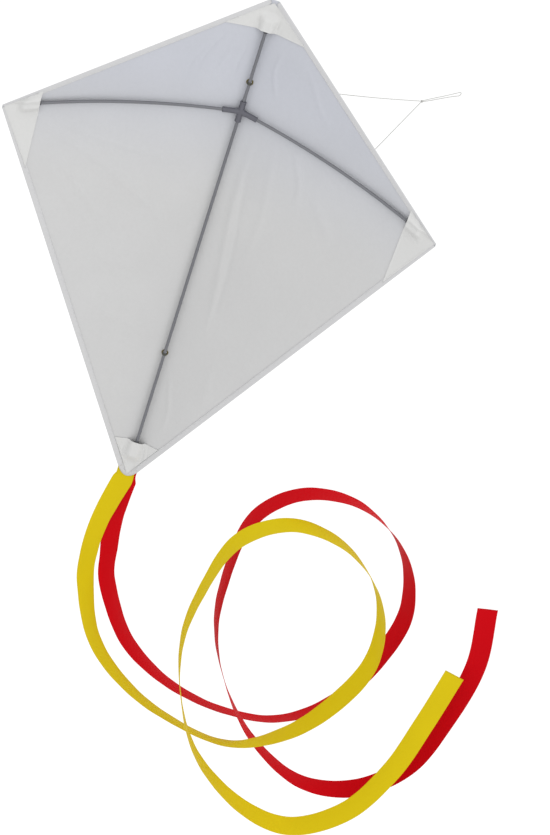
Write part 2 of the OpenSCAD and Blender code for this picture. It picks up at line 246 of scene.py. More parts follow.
# ---------------------------------------------------------------------------------------
# Sail: a blank diamond of thin white polyester, blunt at the nose and rounded at the
# tail, drawn back over the bowed spars and slightly creased from being kept folded.
# ---------------------------------------------------------------------------------------
NOSE_Z, TAIL_Z = 0.150, -0.550
NOSE_HALF, TAIL_HALF, TAIL_RISE, TIP_CUT = 0.006, 0.014, 0.013, 0.0015
HUB_SWEEP, TIP_SWEEP, LEAN = math.radians(13), math.radians(31), math.radians(25)
SPAR_LENGTH = 0.300
BEND_R = SPAR_LENGTH / (TIP_SWEEP - HUB_SWEEP)
TIP_X = BEND_R * (math.sin(TIP_SWEEP) - math.sin(HUB_SWEEP))
CLOTH, SPINE_FLAT = 0.0004, 0.005


def spar_line(x):
    """Y and z of the line of the spars at x out: the bow of one arc of radius R between
    the two sweeps, R(cos a - cos(arcsin(sin a + x / R))), in a plane leant down."""
    drop = BEND_R * (math.cos(HUB_SWEEP)
                     - np.sqrt(1 - (math.sin(HUB_SWEEP) + x / BEND_R) ** 2))
    return -drop * math.cos(LEAN), -drop * math.sin(LEAN)


TIP_Y, TIP_Z = spar_line(TIP_X)


def edge_heights(x):
    """Heights of the upper and the lower edge of the sail at x out."""
    t = np.clip((x - NOSE_HALF) / (TIP_X - NOSE_HALF), 0, 1)
    high = NOSE_Z + (TIP_Z - NOSE_Z) * t
    t = np.clip((x - TAIL_HALF) / (TIP_X - TAIL_HALF), 0, 1)
    low = TAIL_Z + TAIL_RISE + (TIP_Z - TAIL_Z - TAIL_RISE) * t
    low = np.where(x < TAIL_HALF, TAIL_Z + TAIL_RISE * (x / TAIL_HALF) ** 2, low)
    return high, low


# Creases of the cloth: ends on the sail (x, z, x, z), half width and height, in mm
CREASES = [(25, -28, 40, -317, 4.5, 0.55), (33, -60, 47, -306, 3.0, -0.35),
           (58, -20, 62, -190, 5.0, 0.35), (83, -18, 100, -90, 4.0, 0.60),
           (138, -40, 160, -8, 6.0, 0.45), (120, -60, 152, -120, 6.0, 0.35),
           (-230, -60, -44, -167, 5.5, 0.60), (-218, -81, -89, -231, 5.5, 0.50),
           (-214, -56, -60, -92, 4.5, 0.35), (-200, -110, -130, -230, 6.0, 0.35),
           (-46, 112, -66, 30, 2.6, 0.45), (-21, 98, -17, 26, 2.2, 0.40),
           (-34, 105, -40, 28, 2.0, -0.30), (-58, 92, -80, 20, 3.0, 0.35),
           (24, 95, 34, 30, 2.4, 0.35), (54, 90, 112, 28, 4.0, 0.30),
           (-146, -222, -49, -244, 6.0, 0.35), (-120, -290, -40, -330, 6.0, 0.35),
           (-65, -422, -20, -484, 3.5, 0.40), (-52, -380, -30, -440, 4.0, 0.30),
           (149, -253, 225, -155, 5.0, 0.40), (160, -292, 138, -360, 5.0, 0.35),
           (70, -330, 60, -440, 5.0, 0.30), (20, -380, 26, -470, 3.0, 0.35)]


def rumple(x, z):
    """How far the cloth stands off its tented shape: soft ridges exp(-(d / w)^2) along
    the creases, fading to nothing at their ends, and two slow waves across the panels,
    sin(k x + m z), all dying away at the rods, the eyelets and the hems."""
    out = 0.00045 * np.sin(21 * x + 33 * z + 1.2 * np.sin(17 * z)) * np.cos(12 * x - 27 * z)
    out = out + 0.00030 * np.sin(61 * x - 38 * z + 2 * np.sin(13 * x))
    for x0, z0, x1, z1, w, h in CREASES:
        ux, uz = (x1 - x0) * 0.001, (z1 - z0) * 0.001
        long = math.hypot(ux, uz)
        px, pz = x - x0 * 0.001, z - z0 * 0.001
        s = (px * ux + pz * uz) / long ** 2
        off = (px * uz - pz * ux) / long
        bend = 0.0035 * np.sin(math.pi * s * 1.7 + x0)
        fade = np.clip(1 - np.abs(2 * s - 1) ** 3, 0, 1)
        out = out + 0.0019 * h * fade * np.exp(-((off - bend) / (w * 0.001)) ** 2)
    spine = 1 - np.exp(-(x / 0.012) ** 2)
    spar = 1 - np.exp(-((z - spar_line(np.abs(x))[1]) / 0.012) ** 2)
    high, low = edge_heights(np.abs(x))
    rim = np.clip(np.minimum((high - z) * 0.8, (z - low) * 0.45) / 0.03, 0, 1)
    return out * spine * spar * rim * rim * (3 - 2 * rim)


def face_y(x, z):
    """Y of the face of the sail: flat over the spine, straight from there to the wing tip
    along the edges, and tented out to the bowed spars by the power 1.5 of the way in from
    the edge. The bend beside the flat strip is rounded, taking (t + sqrt(t^2 + r^2)) / 2
    for the distance t beyond it."""
    far = np.abs(x) - SPINE_FLAT
    out = (far + np.sqrt(far * far + 0.0016 ** 2)) / 2 * TIP_X / (TIP_X - SPINE_FLAT)
    out = np.minimum(out, TIP_X)
    y = spar_line(out)[0]
    zs = spar_line(np.abs(x))[1]
    high, low = edge_heights(np.abs(x))
    chord = TIP_Y * out / TIP_X
    edge = np.where(z > zs, high, low)
    span = np.where(np.abs(edge - zs) < 1e-6, 1e-6, edge - zs)
    across = np.clip(np.abs((z - zs) / span), 0, 1)
    return chord + (y - chord) * (1 - across) ** 1.5 - rumple(x, z)


def on_sail(x, z, depth):
    """Points of the row frame at x, z on the sail, depth behind its face."""
    return HUB + np.stack([x, face_y(x, z) - depth, z], -1)


half = np.concatenate([np.linspace(0, 0.014, 15), np.linspace(0.014, TIP_X - TIP_CUT, 150)[1:]])
xs = np.concatenate([-half[:0:-1], half])
EYELET_Z = (0.039, -0.355)
near_lower = EYELET_Z[1] / -TAIL_Z
zs_part = np.union1d(np.linspace(-1, 1, 321), near_lower + np.linspace(-0.012, 0.012, 13))
X = np.repeat(xs[:, None], len(zs_part), 1)
high, low = edge_heights(np.abs(X))
middle = spar_line(np.abs(X))[1]
Z = np.where(zs_part < 0, middle + (middle - low) * zs_part, middle + (high - middle) * zs_part)
# The cloth stops just inside the fold of the hem, except at its blunt ends
EDGE_IN = 0.0005
Z = np.clip(Z, low + EDGE_IN / 0.47, high - EDGE_IN / 0.81)
Z = np.where(np.abs(X) < NOSE_HALF, np.maximum(Z, np.where(zs_part >= 1, high, Z)), Z)
Z = np.where((np.abs(X) < TAIL_HALF) & (zs_part <= -1), low, Z)
front, back = on_sail(X, Z, 0.0), on_sail(X, Z, CLOTH)
faces = skin_faces(*X.shape)
# Holes for the eyelets: the quads that reach inside each barrel are left out
corners = np.stack([X, Z], -1).reshape(-1, 2)[faces % X.size]
EYELET_HOLE = 0.0025
keep = np.ones(len(faces), bool)
for z in EYELET_Z:
    keep &= np.hypot(corners[..., 0], corners[..., 1] - z).min(1) > EYELET_HOLE
sail = mesh_piece("sail_cloth", np.concatenate([front.reshape(-1, 3), back.reshape(-1, 3)]),
                  faces[keep], "airframe")
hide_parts("sail")
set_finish(sail, "sail_cloth")

# ---------------------------------------------------------------------------------------
# Hems: the edge of the cloth turned once to the back, 6.8 mm wide, rounded at the fold and
# slightly puckered by the stitching; the bands are mitred where they meet at a corner.
# ---------------------------------------------------------------------------------------
HEM_WIDTH, SEAM_IN = 0.0068, 0.0056
WING = np.array([TIP_X, TIP_Z])


def hem_line(top):
    """Start of an edge at the spine end, its direction outwards and its inward side."""
    start = np.array([NOSE_HALF, NOSE_Z]) if top else np.array([TAIL_HALF,
                                                                TAIL_Z + TAIL_RISE])
    run = unit(WING - start)
    inward = np.array([run[1], -run[0]]) if top else np.array([-run[1], run[0]])
    return start, run, inward, float(np.linalg.norm(WING - start))


# Half the angle of the diamond at a wing tip, for the mitres
WING_HALF = math.acos(float(np.dot(hem_line(True)[1], hem_line(False)[1]))) / 2


def hem(name, side, top):
    """One hem: a flat band with a half-round fold of radius r at the edge, its points
    w in from the edge and d behind the face."""
    start, run, inward, long = hem_line(top)
    stop = long - TIP_CUT / run[0] + 0.0002
    s = np.linspace(0.0, stop, int(stop / 0.0015))
    mitre = np.minimum((long - s) * math.tan(WING_HALF), HEM_WIDTH)
    reach = np.minimum(mitre, HEM_WIDTH * (0.72 + 0.28 * np.clip(s / 0.006, 0, 1)))
    pucker = 0.00010 * np.sin(s * 2 * math.pi / 0.0126) * np.sin(s * 41 + side)
    r = 0.00052
    a = np.linspace(-0.5 * math.pi, 0.5 * math.pi, 7)
    fold_w, fold_d = r - r * np.cos(a), 0.00048 + r * np.sin(a)
    rows = []
    for w0, d in zip(fold_w, fold_d):
        rows.append((np.full_like(s, w0), np.full_like(s, d)))
    for t in np.linspace(0.12, 1, 8):
        rows.append((r + (reach - r) * t, 0.00100 + pucker * math.sin(math.pi * t)))
    rows.append((reach + 0.00004, np.full_like(s, 0.00078)))
    for t in np.linspace(1, 0.12, 8):
        rows.append((r + (reach - r) * t, 0.00058 + pucker * math.sin(math.pi * t)))
    rows.append((np.full_like(s, r), np.full_like(s, 0.0002)))
    w = np.stack([q[0] for q in rows], 1)
    d = np.stack([q[1] for q in rows], 1)
    x = start[0] + run[0] * s[:, None] + inward[0] * w
    z = start[1] + run[1] * s[:, None] + inward[1] * w
    ring = on_sail(side * x, z, d)
    k = ring.shape[1]
    faces = grid_faces(len(s), k, wrap=True)
    if (side > 0) == top:
        faces = faces[:, ::-1]
    ends = [list(range(k)), [(len(s) - 1) * k + j for j in range(k)][::-1]]
    if (side > 0) == top:
        ends = [ends[0][::-1], ends[1][::-1]]
    piece = mesh_piece(name, ring, faces.tolist() + ends, "airframe")
    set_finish(piece, "sail_cloth")
    return piece


HEMS = {"hem_top_left": (-1, True), "hem_top_right": (1, True),
        "hem_bottom_left": (-1, False), "hem_bottom_right": (1, False)}
hems = []
for node, (side, top) in HEMS.items():
    piece = hem("folded_" + node, side, top)
    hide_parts(node)
    hems.append(piece)

# ---------------------------------------------------------------------------------------
# Pockets: a triangle of the same cloth sewn into each corner, open towards the middle,
# with its free edge turned under and a fold standing up where the capped rod lies in it.
# ---------------------------------------------------------------------------------------
POCKET_INSET = 0.0030
POCKET_LIFT = 0.0080
HEM_BACK = 0.00080
NOSE, TAIL = np.array([0, NOSE_Z]), np.array([0, TAIL_Z])
top_edge, low_edge = unit(NOSE - WING), unit(TAIL - WING)
END_LEG, TIP_LEGS = 0.062, (0.048, 0.088)


def inset(corner, e1, e2):
    """The corner moved in so that it lies the same distance from both edges."""
    return corner + POCKET_INSET * (e1 + e2) / abs(e1[0] * e2[1] - e1[1] * e2[0])


def smooth_step(t):
    """t clipped to 0..1, then t^2 (3 - 2 t)."""
    t = np.clip(t, 0, 1)
    return t * t * (3 - 2 * t)


def pocket_grid(c, a, b, r, m, s, q):
    """Points of a patch: s runs from the corner c to the free edge a-b, q across it from
    -1 at a to 1 at b; the rod crosses the patch from r, level with c, to m on the edge."""
    pa, pb = (c + (e - c) * s[:, None, None] for e in (a, b))
    long = np.linalg.norm(pb - pa, axis=-1, keepdims=True)
    d = (pb - pa) / long
    at = ((r + (m - r) * s[:, None, None] - pa) * d).sum(-1, keepdims=True)
    pm = pa + d * np.clip(at, 0.12 * long, 0.88 * long)
    left, right_side = pm - pa, pb - pm
    t = np.abs(q)[None, :, None]
    p = np.where(q[None, :, None] < 0, pm - left * t, pm + right_side * t)
    off = np.linalg.norm(p - pm, axis=-1)
    rise = smooth_step((s - 0.32) / 0.32)[:, None]
    side_room = np.where(q[None, :] < 0, np.linalg.norm(left, axis=-1),
                         np.linalg.norm(right_side, axis=-1))
    foot = np.minimum(0.0136, 0.92 * side_room)
    shape = smooth_step((foot - off) / np.maximum(foot - 0.0038, 0.0005))
    gather = 0.00030 * np.sin(off * 900 + s[:, None] * 9) * smooth_step((0.024 - off) / 0.01)
    return p, POCKET_LIFT * rise * shape + gather * rise * (1 - shape)


def pocket(name, c, a, b, r, m, node):
    """The patch as a closed skin with a rolled free edge."""
    q = np.sort(np.concatenate([np.linspace(-1, 1, 61), np.linspace(-0.45, 0.45, 60)]))
    s = np.concatenate([np.linspace(0.004, 0.96, 70), [0.972, 0.984, 0.993, 0.998, 1.0]])
    p, lift = pocket_grid(c, a, b, r, m, s, q)
    roll = 0.00028 * smooth_step((s - 0.955) / 0.02)[:, None]
    top_d = HEM_BACK + CLOTH + lift + roll
    top_d[-1] -= 0.0004
    under_d = HEM_BACK + lift
    outer = on_sail(p[..., 0], p[..., 1], top_d)
    inner = on_sail(p[..., 0], p[..., 1], under_d)
    faces = skin_faces(*lift.shape)
    edge1, edge2 = a - c, b - c
    if edge1[0] * edge2[1] - edge1[1] * edge2[0] < 0:
        faces = faces[:, ::-1]
    piece = mesh_piece(name, np.concatenate([outer.reshape(-1, 3), inner.reshape(-1, 3)]),
                       faces, "airframe")
    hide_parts(node)
    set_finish(piece, "patch_cloth")
    return piece


def end_corner(corner, edge):
    """Corner and ends of a patch at the nose or the tail, edge running in to it."""
    e = -edge
    c = inset(corner, e, np.array([-e[0], e[1]]))
    b = c + e * END_LEG
    return c, np.array([-b[0], b[1]]), b, c, np.array([0, b[1]])


def tip_corner(side):
    """Corner and ends of a patch at a wing tip."""
    c = inset(WING, top_edge, low_edge)
    a, b = c + top_edge * TIP_LEGS[0], c + low_edge * TIP_LEGS[1]
    m = a + (b - a) * (a[1] - spar_line(a[0])[1]) / (a[1] - b[1])
    r = c + (a - b) * (spar_line(c[0])[1] - c[1]) / (a[1] - b[1])
    mirror = np.array([side, 1])
    return c * mirror, a * mirror, b * mirror, r * mirror, m * mirror


PATCHES = {"nose_pocket": end_corner(NOSE, top_edge),
           "tail_pocket": end_corner(TAIL - np.array([0, 0.003]), low_edge),
           "left_pocket": tip_corner(-1), "right_pocket": tip_corner(1)}
pockets = [pocket("sewn_" + node, *shape, node) for node, shape in PATCHES.items()]

# ---------------------------------------------------------------------------------------
# Stitching: white lock stitch along the inner edge of every hem and round the two sewn
# sides of every pocket, each stitch a short strand that dips into the cloth at both ends.
# ---------------------------------------------------------------------------------------
STITCH_PITCH, STITCH_LONG, THREAD_R = 0.0033, 0.0025, 0.00019


def stitch_row(points, normals):
    """Points and faces of stitches laid one after another along a path, each a six-sided
    strand of radius r sin(pi t)^0.5 whose middle stands above the cloth."""
    s = lengths(points)
    starts = np.arange(STITCH_PITCH, s[-1] - STITCH_PITCH, STITCH_PITCH)
    t = np.linspace(0, 1, 6)
    at = starts[:, None] + STITCH_LONG * t
    p = np.stack([np.interp(at, s, points[:, k]) for k in range(3)], -1)
    nrm = np.stack([np.interp(at, s, normals[:, k]) for k in range(3)], -1)
    run = unit(p[:, -1] - p[:, 0])[:, None]
    side = unit(np.cross(run, nrm))
    p = p + nrm * (0.00012 * np.sin(math.pi * t) - 0.00002)[None, :, None]
    r = THREAD_R * np.maximum(np.sin(math.pi * t), 0.12)[None, :, None, None] ** 0.5
    a = np.arange(6) * math.pi / 3
    ring = p[:, :, None] + r * around(a, side[:, :, None], nrm[:, :, None])
    faces = grid_faces(6, 6, wrap=True)
    caps = [list(range(6))[::-1], [30 + k for k in range(6)]]
    shift = (np.arange(len(starts)) * 36)[:, None, None]
    quads = (faces[None] + shift).reshape(-1, 4).tolist()
    ends = [[v + 36 * i for v in cap] for i in range(len(starts)) for cap in caps]
    return ring.reshape(-1, 3), quads + ends


def gather_rows(rows):
    """Several rows of stitches as one set of points and faces."""
    points, faces, base = [], [], 0
    for p, f in rows:
        points.append(p)
        faces += [[v + base for v in face] for face in f]
        base += len(p)
    return np.concatenate(points), faces


def cloth_normal(x, z, behind):
    """Unit normal of the sail at x, z, pointing back when behind is 1, forward at -1."""
    h = 0.0005
    fx = (face_y(x + h, z) - face_y(x - h, z)) / (2 * h)
    fz = (face_y(x, z + h) - face_y(x, z - h)) / (2 * h)
    return unit(np.stack([fx, -np.ones_like(fx), fz], -1)) * behind


def seam(x, z, depth, behind):
    """A row of stitches along x, z at a depth behind the face."""
    return stitch_row(on_sail(x, z, depth), cloth_normal(x, z, behind))


for node, (side, top) in HEMS.items():
    start, run, inward, long = hem_line(top)
    s = np.linspace(0.004, long - 0.010, 400)
    x = start[0] + run[0] * s + inward[0] * SEAM_IN
    z = start[1] + run[1] * s + inward[1] * SEAM_IN
    points, faces = gather_rows([seam(side * x, z, 0.00102, 1), seam(side * x, z, 0.0, -1)])
    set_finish(mesh_piece("seam_" + node, points, faces, "airframe"), "thread")

for node, (c, a, b, _, _) in PATCHES.items():
    rows = []
    for e, far in ((a, b), (b, a)):
        s = np.linspace(0.10, 0.985, 120)[:, None]
        inward = unit((far - c) - np.dot(far - c, unit(e - c)) * unit(e - c))
        p = c + (e - c) * s + inward * 0.0017
        rows += [seam(p[:, 0], p[:, 1], 0.00122, 1), seam(p[:, 0], p[:, 1], 0.0, -1)]
    points, faces = gather_rows(rows)
    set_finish(mesh_piece("seam_" + node, points, faces, "airframe"), "thread")

# ---------------------------------------------------------------------------------------
# Rods: pultruded fibre rod, 4 mm, dark grey and glossy. The spine runs the length of the
# sail; the two spars are bowed back by the cloth and held in the connector and pockets.
# ---------------------------------------------------------------------------------------
ROD_Y, ROD_R = -0.0048, 0.002
SPINE_LOW, SPINE_TOP = TAIL_Z + 0.050, NOSE_Z - 0.036
SPAR_START, SPAR_END = 0.007, SPAR_LENGTH - 0.044


def spar_path(s, side, y=ROD_Y):
    """Points at lengths s along a spar, R(sin b - sin a, cos b - cos a) in the leant
    plane, where b is the sweep at that length."""
    b = HUB_SWEEP + (TIP_SWEEP - HUB_SWEEP) * s / SPAR_LENGTH
    out = BEND_R * (np.sin(b) - math.sin(HUB_SWEEP))
    back = BEND_R * (np.cos(b) - math.cos(HUB_SWEEP))
    return HUB + np.stack([side * out, y + back * math.cos(LEAN),
                           back * math.sin(LEAN)], -1)


def turned(path, profile, sides=32):
    """Points and faces of a solid turned about a path: profile rows are (distance along
    the path, radius), in order from one end round to the other, closed on itself."""
    s = lengths(path)
    t = unit(np.gradient(path, axis=0))
    at, r = np.asarray(profile, float).T
    centre = np.stack([np.interp(at, s, path[:, k]) for k in range(3)], 1)
    before = np.clip(-at, 0, None)[:, None] * -t[0] + np.clip(at - s[-1], 0, None)[:, None] * t[-1]
    centre = centre + before
    along = unit(np.stack([np.interp(at, s, t[:, k]) for k in range(3)], 1))
    u = unit(np.cross(along, [0.0, 1.0, 0.02]))
    v = np.cross(along, u)
    a = np.arange(sides) * 2 * math.pi / sides
    ring = centre[:, None] + r[:, None, None] * around(a, u[:, None], v[:, None])
    return ring, grid_faces(len(at), sides, wrap=True)


def rod(name, path, node):
    """A solid rod with lightly broken ends."""
    long = lengths(path)[-1]
    inner = np.linspace(0.0004, long - 0.0004, max(2, len(path)))
    profile = ([(0, ROD_R - 0.0004), (0.00012, ROD_R - 0.00012)] + [(s, ROD_R) for s in inner]
               + [(long - 0.00012, ROD_R - 0.00012), (long, ROD_R - 0.0004)])
    ring, faces = turned(path, profile)
    last = (len(profile) - 1) * 32
    ends = [list(range(32))[::-1], [last + k for k in range(32)]]
    piece = mesh_piece(name, ring, faces.tolist() + ends, "airframe")
    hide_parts(node)
    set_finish(piece, "rod")


spine_path = HUB + np.array([[0, ROD_Y, z] for z in np.linspace(SPINE_LOW, SPINE_TOP, 40)])
rod("spine_fibre_rod", spine_path, "spine_rod")
for side, node in ((-1, "left_spar"), (1, "right_spar")):
    path = spar_path(np.linspace(SPAR_START, SPAR_END, 80), side)
    rod("fibre_" + node, path, node)

# ---------------------------------------------------------------------------------------
# End caps: moulded black cups with rounded noses, pushed onto the ends of the rods and
# lying under the pockets.
# ---------------------------------------------------------------------------------------
CAP_R, CAP_LONG, CAP_WALL, CLEAR = 0.0026, 0.008, 0.0015, 0.00005
SEAT = CAP_LONG - CAP_WALL - 0.0001
cap_profile = [(0, ROD_R + CLEAR), (0, CAP_R - 0.0003), (0.0003, CAP_R),
               (0.0065, CAP_R), (0.0073, 0.0023), (0.0078, 0.0016), (0.0080, 0.0001),
               (CAP_LONG - CAP_WALL, 0.0001), (CAP_LONG - CAP_WALL, ROD_R + CLEAR)]


def cap(name, path, node):
    """A cup turned about a path that starts at its mouth."""
    ring, faces = turned(path, cap_profile + cap_profile[:1])
    piece = mesh_piece(name, ring, faces, "airframe")
    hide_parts(node)
    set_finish(piece, "cap")


along_z = np.linspace(0, CAP_LONG, 8)[:, None] * np.array([0, 0, 1.0])
cap("moulded_nose_cap", HUB + [0, ROD_Y, SPINE_TOP - SEAT] + along_z, "nose_cap")
cap("moulded_tail_cap", HUB + [0, ROD_Y, SPINE_LOW + SEAT] - along_z, "tail_cap")
for side, node in ((-1, "left_tip_cap"), (1, "right_tip_cap")):
    mid = spar_path(np.array([SPAR_END - SEAT / 2 - 0.0005, SPAR_END - SEAT / 2,
                              SPAR_END - SEAT / 2 + 0.0005]), side)
    run = unit(mid[2] - mid[0])
    cap("moulded_" + node, mid[1] + run * (np.linspace(0, CAP_LONG, 8)[:, None] - SEAT / 2),
        node)

# ---------------------------------------------------------------------------------------
# Cross connector: soft grey plastic, a sleeve that slides on the spine with a blind socket
# for each spar, rolled lips at every mouth and a thicker web where the tubes meet.
# ---------------------------------------------------------------------------------------
SLEEVE_R, SLEEVE_LONG, SOCKET_R, SOCKET_LONG = 0.004, 0.028, 0.0036, 0.023
SOCKET_MID = (SPAR_START + SOCKET_LONG) / 2
BORE = ROD_R + CLEAR
lip = [(0.0, BORE), (0.0, SLEEVE_R - 0.0006), (0.0002, SLEEVE_R - 0.0002),
       (0.0006, SLEEVE_R), (0.0016, SLEEVE_R), (0.0021, SLEEVE_R - 0.00025)]
body = [(s, SLEEVE_R - 0.00025) for s in np.linspace(0.003, SLEEVE_LONG - 0.003, 12)]
mirrored = [(SLEEVE_LONG - s, r) for s, r in lip[::-1]]
sleeve_path = HUB + np.array([[0, ROD_Y, z] for z in np.linspace(-0.014, 0.014, 12)])
rings = [turned(sleeve_path, lip + body + mirrored + lip[:1])]
for side in (-1, 1):
    near = spar_path(np.array([SOCKET_MID - 0.0005, SOCKET_MID, SOCKET_MID + 0.0005]), side)
    run = unit(near[2] - near[0])
    path = near[1] + run * (np.linspace(0, SOCKET_LONG, 12)[:, None] - SOCKET_MID)
    outer = [(s, SOCKET_R - 0.0002 + 0.0003 * math.exp(-(s / 0.006) ** 2))
             for s in np.linspace(0, SOCKET_LONG - 0.0022, 12)]
    tip = [(SOCKET_LONG - 0.0017, SOCKET_R), (SOCKET_LONG - 0.0006, SOCKET_R),
           (SOCKET_LONG - 0.0002, SOCKET_R - 0.0002), (SOCKET_LONG, SOCKET_R - 0.0006),
           (SOCKET_LONG, BORE), (SPAR_START - 0.0005, BORE), (SPAR_START - 0.0005, 0.0001),
           (0.0, 0.0001)]
    rings.append(turned(path, outer + tip + outer[:1]))
# The web: an egg round the crossing, half sizes 6.6 x 3.8 x 5.2 mm, under the sleeves
lat = np.linspace(-math.pi / 2, math.pi / 2, 17)[:, None]
lon = (np.arange(32) * 2 * math.pi / 32)[None]
web = np.stack([0.0066 * np.cos(lat) * np.cos(lon), 0.0038 * np.cos(lat) * np.sin(lon),
                0.0052 * np.sin(lat) * np.ones_like(lon)], -1)
web_centre = HUB + np.array([0, ROD_Y, 0])
rings.append((web_centre + web, grid_faces(17, 32, wrap=True)))
points, faces = gather_rows([(p.reshape(-1, 3), f.tolist()) for p, f in rings])
connector = mesh_piece("moulded_connector", points, faces, "airframe")
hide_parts("cross_connector")
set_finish(connector, "connector")

# ---------------------------------------------------------------------------------------
# Eyelets: two-part pressed brass, a rolled flange and barrel on the back and a washer that
# the barrel is rolled over on the face, clenching the cloth of the sail between them.
# ---------------------------------------------------------------------------------------
FLANGE_R, BARREL_R, BORE_R = 0.0046, 0.0028, 0.0023


def lathed(z, profile):
    """A ring about the line of an eyelet at height z: rows are (depth behind the face,
    radius), given from the face round to the back and closed."""
    path = HUB + np.array([[0, 0.003 - y, z] for y in np.linspace(0, 0.006, 8)])
    rows = [(d + 0.003, r) for d, r in profile]
    ring, faces = turned(path, rows + rows[:1], sides=48)
    return ring.reshape(-1, 3), faces.tolist()


flange = [(-0.00060, BORE_R + 0.00012), (-0.00066, BORE_R + 0.0003), (-0.00060, BARREL_R),
          (0.00055, BARREL_R), (0.00058, FLANGE_R - 0.0002), (0.00070, FLANGE_R),
          (0.00090, FLANGE_R - 0.0001), (0.00108, FLANGE_R - 0.0007),
          (0.00115, FLANGE_R - 0.0012), (0.00112, BORE_R + 0.0004), (0.00098, BORE_R + 0.0001),
          (0.00070, BORE_R), (-0.00040, BORE_R)]
washer = [(-0.00015, BARREL_R + CLEAR), (-0.00015, FLANGE_R - 0.0001), (-0.00026, FLANGE_R),
          (-0.00040, FLANGE_R - 0.0003), (-0.00045, FLANGE_R - 0.0009),
          (-0.00042, BARREL_R + CLEAR)]
for z, level in zip(EYELET_Z, ("upper", "lower")):
    for part, profile in (("eyelet", flange), ("washer", washer)):
        points, faces = lathed(z, profile)
        piece = mesh_piece(f"pressed_{level}_{part}", points, faces, "airframe")
        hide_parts(f"{level}_{part}")
        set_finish(piece, "brass")

# ---------------------------------------------------------------------------------------
# Spine knots: at each eyelet the line takes three turns round the spine, is tied down over
# them, and passes forward through the sail to the bridle.
# ---------------------------------------------------------------------------------------
LINE_R = LINE_D / 2
spine_knots = []
for z, level in zip(EYELET_Z, ("upper", "lower")):
    a = np.linspace(-0.5 * math.pi, 5.5 * math.pi, 160)
    r = ROD_R + LINE_R + CLEAR
    coil = np.stack([r * np.cos(a), r * np.sin(a) * -1.0,
                     0.00105 * (a - 2.5 * math.pi) / (2 * math.pi)], 1)
    tie_a = np.linspace(0, 2 * math.pi, 48)
    tie = np.stack([0.0009 * np.sin(tie_a) * 0.7, 0.0031 + 0.00035 * np.cos(2 * tie_a),
                    0.0015 * np.cos(tie_a)], 1)
    stub = np.stack([np.zeros(16), np.linspace(0.0024, 0.0009 - ROD_Y, 16), np.zeros(16)], 1)
    parts = []
    for path, lie in ((coil, (0.0, 0.0, 1.0)), (tie, (0.0, 1.0, 0.0)), (stub, (0.0, 0.0, 1.0))):
        ring, faces = twisted_tube(HUB + [0, ROD_Y, z] + path, LINE_R, normal=lie)
        parts.append((ring.reshape(-1, 3), faces))
    points, faces = gather_rows(parts)
    piece = mesh_piece(f"tied_{level}_spine_knot", points, faces, "airframe")
    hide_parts(f"{level}_spine_knot")
    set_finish(piece, "line")
    spine_knots.append(piece)

# ---------------------------------------------------------------------------------------
# Tails: two satin ribbons, 28 mm wide, sewn one over the other under the tail corner and
# blown out in a rising curl. Each is one length, from its sewn end to its cut end.
# ---------------------------------------------------------------------------------------
RIBBON_WIDTH, RIBBON_THICK = 0.028, 0.0005
# Rows are x, y, z and the lean of the ribbon's width out of the plane of the kite
YELLOW_ROUTE = [(-2, 0.4, -552, 0), (-7.3, 0.3, -577, 9), (-12.6, 0.1, -604, 18),
                (-16.8, 0, -635, 28), (-17.6, 0, -680, 37), (-10, 0, -730, 45),
                (25, 0, -815, 70), (90, 0, -875, 90), (170, -5, -905, 105), (250, -15, -905, 105),
                (320, -20, -855, 75), (370, -20, -780, 50), (395, -20, -695, 50),
                (375, -20, -605, 65), (315, -20, -545, 80), (235, -25, -530, 100),
                (170, -30, -575, 115), (145, -35, -660, 110), (140, -40, -750, 105),
                (165, -45, -840, 100), (210, -45, -920, 95), (285, -40, -980, 80),
                (365, -30, -1000, 60), (435, -25, -950, 40), (475, -15, -870, 25),
                (495, -5, -785, 10), (510, 0, -695, 5)]
RED_ROUTE = [(2, 1.05, -552, 0), (0.8, 2.8, -577, 9), (0.4, 7.5, -604, 18),
             (1.6, 13, -635, 28), (7.5, 18, -680, 38), (20, 20, -735, 50), (70, 35, -825, 70),
             (145, 45, -880, 95), (230, 50, -900, 105), (310, 50, -885, 100),
             (375, 45, -820, 75), (410, 40, -730, 50), (420, 30, -635, 45),
             (385, 20, -545, 60), (315, 15, -495, 80), (235, 10, -500, 100),
             (180, 10, -560, 115), (170, 10, -650, 115), (180, 10, -745, 110),
             (220, 15, -835, 105), (280, 20, -910, 95), (360, 20, -955, 85),
             (440, 20, -940, 60), (500, 20, -875, 40), (525, 20, -780, 25),
             (535, 15, -680, 10), (520, 10, -585, -5)]


